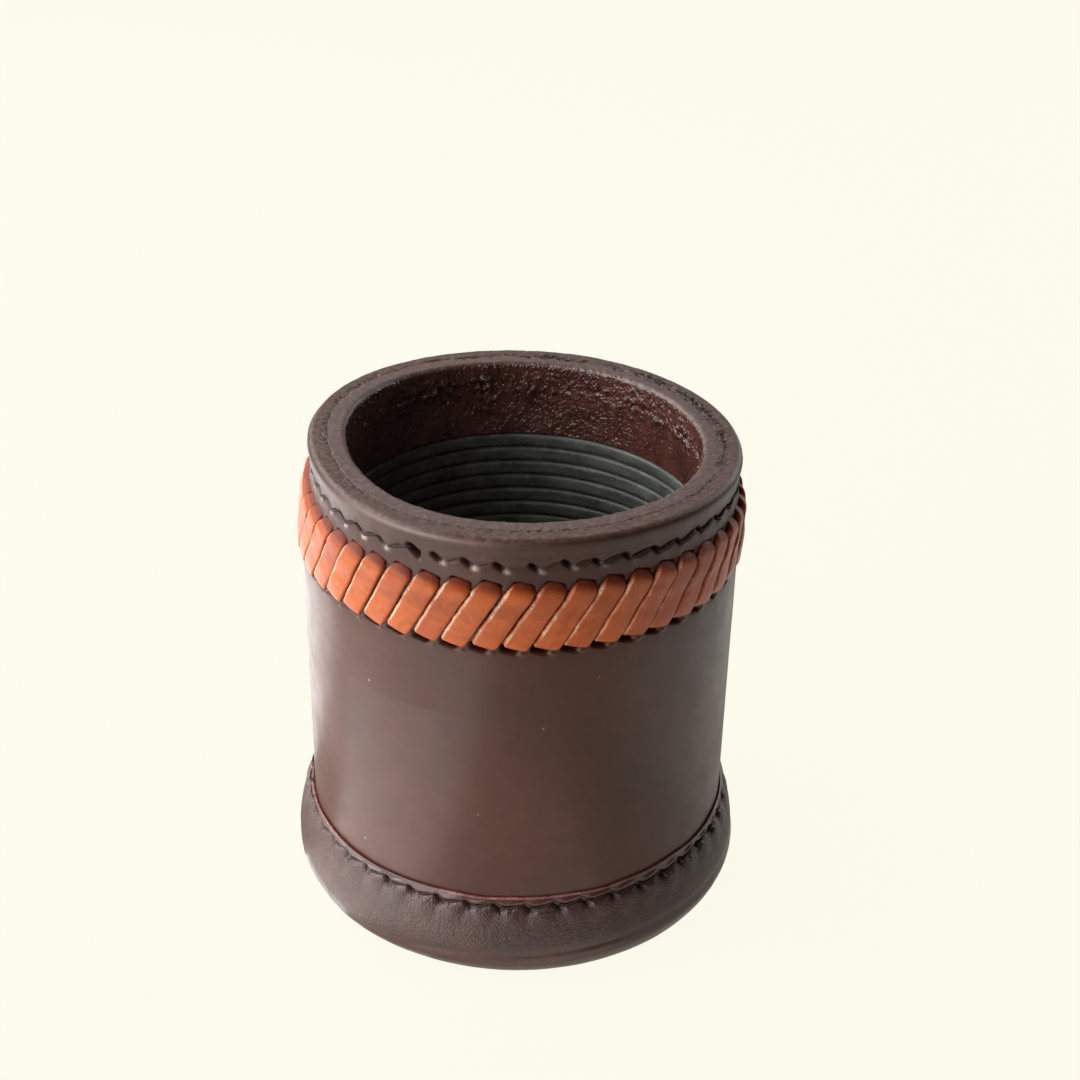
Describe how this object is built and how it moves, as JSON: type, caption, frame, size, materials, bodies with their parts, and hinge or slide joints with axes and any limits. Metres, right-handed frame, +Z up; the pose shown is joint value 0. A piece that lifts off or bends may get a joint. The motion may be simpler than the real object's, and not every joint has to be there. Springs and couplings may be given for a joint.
{
  "type": "pen cup",
  "caption": "Round leather desk cup with a laced collar, stitched rim, ribbed rubber lining and a padded, stitched foot.",
  "frame": {"origin": "centre of the underside, on the surface that the cup stands on", "axes": "+Z up along the cup's axis, -Y to the front, +X to the right as seen from the front"},
  "size_m": [0.0948, 0.0948, 0.1013],
  "materials": {
    "body_leather": "smooth, glossy, dark brown",
    "collar_leather": "matte, fine-grained, dark brown",
    "lining_leather": "creased, waxy, reddish brown",
    "ribbed_rubber": "satin black with rounded ribs",
    "board": "plain fibreboard",
    "foot_leather": "soft, fine-grained, gathered, dark brown",
    "packing_felt": "loose felt",
    "sole_leather": "smooth, matte, dark brown",
    "lace_leather": "satin tan with pale cut edges",
    "thread": "waxed, dark brown, twisted"
  },
  "bodies": {
    "root": {"body_wall": "body_leather", "collar_band": "collar_leather", "rim_lining": "lining_leather", "ribbed_liner": "ribbed_rubber", "floor_pad": "ribbed_rubber", "base_board": "board", "foot_cover": "foot_leather", "foot_packing": "packing_felt", "sole_disc": "sole_leather", "lace": "lace_leather", "collar_thread": "thread", "foot_thread": "thread"}
  },
  "joints": []
}
